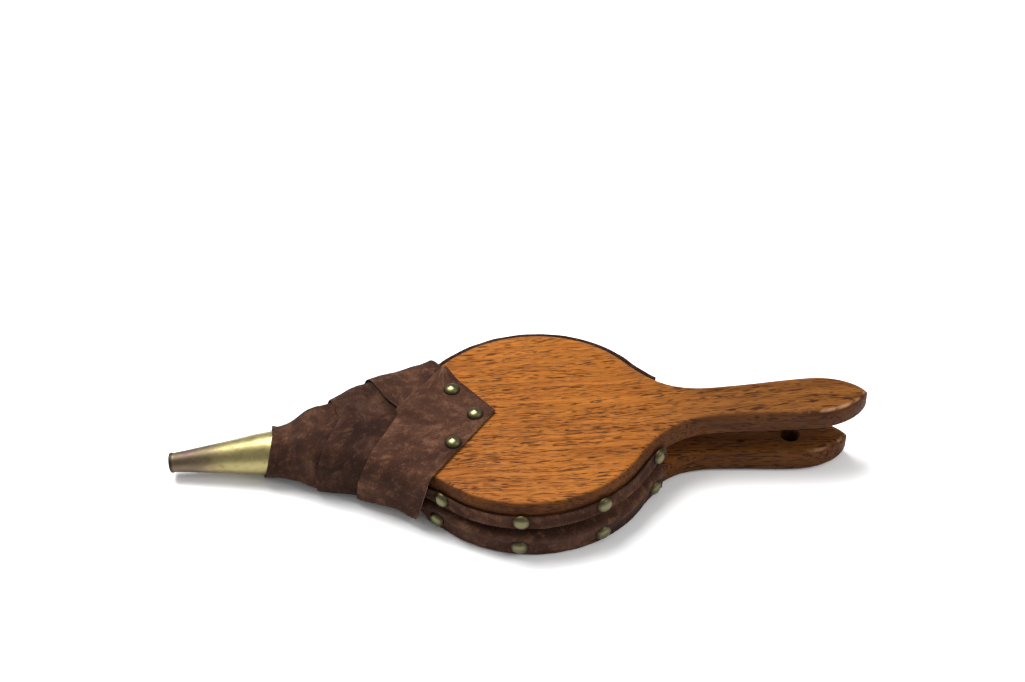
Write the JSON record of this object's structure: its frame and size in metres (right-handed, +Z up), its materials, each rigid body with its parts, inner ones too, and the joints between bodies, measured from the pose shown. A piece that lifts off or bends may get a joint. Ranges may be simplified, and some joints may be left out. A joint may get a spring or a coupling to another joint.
{
  "type": "hand bellows",
  "caption": "Pear-shaped oak fireplace bellows with two handles, folded suede skin, suede-bound nose, brass cone nozzle and dome nails.",
  "frame": {"origin": "on the surface the bellows lies on, under the middle of its whole length and width", "axes": "+X along the handles, away from the nozzle; +Z up, from the bottom board to the top board"},
  "size_m": [0.4364, 0.1646, 0.0528],
  "materials": {
    "oak": "golden oak, worn satin varnish",
    "oak_dark": "plain oak, unvarnished",
    "nozzle_brass": "spun brass, brown patina towards the tip",
    "nail_brass": "antique brass, polished domes",
    "tack_brass": "plain brass",
    "suede": "brown suede",
    "suede_dark": "dark brown suede",
    "hinge_leather": "smooth brown leather"
  },
  "bodies": {
    "lower": {"bottom_board": "oak", "nose_block": "oak_dark", "nozzle": "nozzle_brass", "hinge_leather": "hinge_leather", "skin_near": "suede", "skin_far": "suede", "tail_gusset": "suede_dark", "front_wrap": "suede", "middle_wrap": "suede_dark", "outer_wrap_near": "suede", "outer_wrap_far": "suede", "valve_hinge": "hinge_leather", "valve_tack_1": "tack_brass", "valve_tack_2": "tack_brass", "bottom_nail_near_1": "nail_brass", "bottom_nail_near_2": "nail_brass", "bottom_nail_near_3": "nail_brass", "bottom_nail_near_4": "nail_brass", "bottom_nail_far_1": "nail_brass", "bottom_nail_far_2": "nail_brass", "bottom_nail_far_3": "nail_brass", "bottom_nail_far_4": "nail_brass", "wrap_tack_near_1": "tack_brass", "wrap_tack_near_2": "tack_brass", "wrap_tack_far_1": "tack_brass", "wrap_tack_far_2": "tack_brass"},
    "upper": {"top_board": "oak", "top_nail_near_1": "nail_brass", "top_nail_near_2": "nail_brass", "top_nail_near_3": "nail_brass", "top_nail_near_4": "nail_brass", "top_nail_far_1": "nail_brass", "top_nail_far_2": "nail_brass", "top_nail_far_3": "nail_brass", "top_nail_far_4": "nail_brass", "flap_nail_1": "nail_brass", "flap_nail_2": "nail_brass", "flap_nail_3": "nail_brass"},
    "clapper": {"valve_clapper": "oak_dark"}
  },
  "joints": [
    {"name": "board_hinge", "type": "hinge", "parent": "lower", "child": "upper", "pos_m": [-0.11405, 0, 0.035], "axis": [0, -1, 0], "range_deg": [0, 16], "deforming": ["skin_near", "skin_far", "tail_gusset", "front_wrap", "middle_wrap", "outer_wrap_near", "outer_wrap_far", "hinge_leather"]},
    {"name": "valve_flap", "type": "hinge", "parent": "lower", "child": "clapper", "pos_m": [-0.00955, 0, 0.0173], "axis": [0, -1, 0], "range_deg": [0, 8]}
  ]
}
